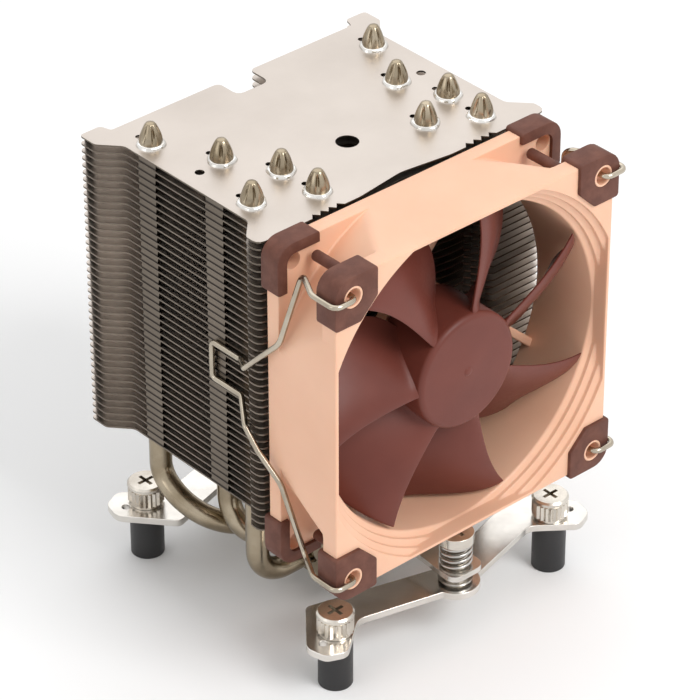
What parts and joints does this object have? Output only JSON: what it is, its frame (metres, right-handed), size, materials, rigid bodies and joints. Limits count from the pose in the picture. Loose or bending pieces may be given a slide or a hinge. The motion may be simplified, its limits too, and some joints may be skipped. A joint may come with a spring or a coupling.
{
  "type": "cpu tower cooler",
  "caption": "Tower cooler for a processor: a stack of thin fins on bent heat pipes with a clipped-on square axial fan and a screw mounting kit.",
  "frame": {"origin": "middle of the mounting screw pattern, on the board surface that the spacers stand on", "axes": "+Z away from the board, +Y along the airflow from the fan into the fins, +X to the right seen from the fan"},
  "size_m": [0.0986, 0.0983, 0.1337],
  "materials": {
    "plated_copper": "nickel plated, soft sheen",
    "plated_steel": "nickel plated sheet",
    "screw_steel": "plated, turned",
    "spring_wire": "drawn spring steel",
    "clip_wire": "plated, drawn round wire",
    "spacer_plastic": "moulded nylon",
    "fin_sheet": "nickel plated, rolled sheet",
    "solder": "bright tin solder",
    "frame_plastic": "moulded, fine grain",
    "blade_plastic": "moulded, soft sheen",
    "pad_rubber": "soft moulded silicone",
    "magnet": "bonded ferrite",
    "core_steel": "stamped laminations",
    "bronze": "sintered bronze",
    "insulator_plastic": "moulded nylon",
    "copper_wire": "enamelled winding wire",
    "board": "lacquered laminate"
  },
  "bodies": {
    "cooler": {"base_plate": "plated_copper", "base_cover": "plated_steel", "heat_pipe_1": "plated_copper", "heat_pipe_2": "plated_copper", "heat_pipe_3": "plated_copper", "heat_pipe_4": "plated_copper", "heat_pipe_5": "plated_copper", "fin_stack": "fin_sheet", "top_fin": "fin_sheet", "solder_rings": "solder", "bridge": "plated_steel", "bridge_screws": "screw_steel", "bar_front": "plated_steel", "bar_rear": "plated_steel", "spacers": "spacer_plastic", "fan_frame": "frame_plastic", "bearing": "bronze", "stator_core": "core_steel", "insulator": "insulator_plastic", "coils": "copper_wire", "circuit_board": "board", "front_pad_1": "pad_rubber", "front_pad_2": "pad_rubber", "front_pad_3": "pad_rubber", "front_pad_4": "pad_rubber", "rear_pad_1": "pad_rubber", "rear_pad_2": "pad_rubber", "rear_pad_3": "pad_rubber", "rear_pad_4": "pad_rubber"},
    "fan_rotor": {"impeller": "blade_plastic", "rotor_yoke": "screw_steel", "magnet_ring": "magnet", "fan_shaft": "screw_steel", "shaft_ring": "spring_wire"},
    "thumb_nut_1": {"thumb_nut_1": "screw_steel"},
    "thumb_nut_2": {"thumb_nut_2": "screw_steel"},
    "thumb_nut_3": {"thumb_nut_3": "screw_steel"},
    "thumb_nut_4": {"thumb_nut_4": "screw_steel"},
    "screw_lift_front": {"retainer_front": "spring_wire", "spring_front": "spring_wire"},
    "screw_turn_front": {"spring_screw_front": "screw_steel"},
    "screw_lift_rear": {"retainer_rear": "spring_wire", "spring_rear": "spring_wire"},
    "screw_turn_rear": {"spring_screw_rear": "screw_steel"},
    "clip_left": {"clip_left": "clip_wire"},
    "clip_right": {"clip_right": "clip_wire"}
  },
  "joints": [
    {"name": "fan_spin", "type": "hinge", "parent": "cooler", "child": "fan_rotor", "pos_m": [0, -0.0475, 0.08143], "axis": [0, -1, 0], "continuous": true},
    {"name": "nut_spin_1", "type": "hinge", "parent": "cooler", "child": "thumb_nut_1", "pos_m": [-0.0375, -0.0375, 0.0157], "axis": [0, 0, 1], "continuous": true},
    {"name": "nut_spin_2", "type": "hinge", "parent": "cooler", "child": "thumb_nut_2", "pos_m": [0.0375, -0.0375, 0.0157], "axis": [0, 0, 1], "continuous": true},
    {"name": "nut_spin_3", "type": "hinge", "parent": "cooler", "child": "thumb_nut_3", "pos_m": [-0.0375, 0.0375, 0.0157], "axis": [0, 0, 1], "continuous": true},
    {"name": "nut_spin_4", "type": "hinge", "parent": "cooler", "child": "thumb_nut_4", "pos_m": [0.0375, 0.0375, 0.0157], "axis": [0, 0, 1], "continuous": true},
    {"name": "screw_lift_front", "type": "slide", "parent": "cooler", "child": "screw_lift_front", "axis": [0, 0, 1], "range_m": [0, 0.002], "deforming": ["spring_front"]},
    {"name": "screw_turn_front", "type": "hinge", "parent": "screw_lift_front", "child": "screw_turn_front", "pos_m": [0, -0.0415, 0.021], "axis": [0, 0, 1], "range_deg": [0, 1030]},
    {"name": "screw_lift_rear", "type": "slide", "parent": "cooler", "child": "screw_lift_rear", "axis": [0, 0, 1], "range_m": [0, 0.002], "deforming": ["spring_rear"]},
    {"name": "screw_turn_rear", "type": "hinge", "parent": "screw_lift_rear", "child": "screw_turn_rear", "pos_m": [0, 0.0415, 0.021], "axis": [0, 0, 1], "range_deg": [0, 1030]},
    {"name": "clip_swing_left", "type": "hinge", "parent": "cooler", "child": "clip_left", "pos_m": [-0.04125, -0.04955, 0.08143], "axis": [0, 0, 1], "range_deg": [0, 30]},
    {"name": "clip_swing_right", "type": "hinge", "parent": "cooler", "child": "clip_right", "pos_m": [0.04125, -0.04955, 0.08143], "axis": [0, 0, -1], "range_deg": [0, 30]}
  ],
  "couplings": [
    {"joint": "screw_turn_front", "follows": "screw_lift_front", "rad_per_m": 8976},
    {"joint": "screw_turn_rear", "follows": "screw_lift_rear", "rad_per_m": 8976}
  ]
}
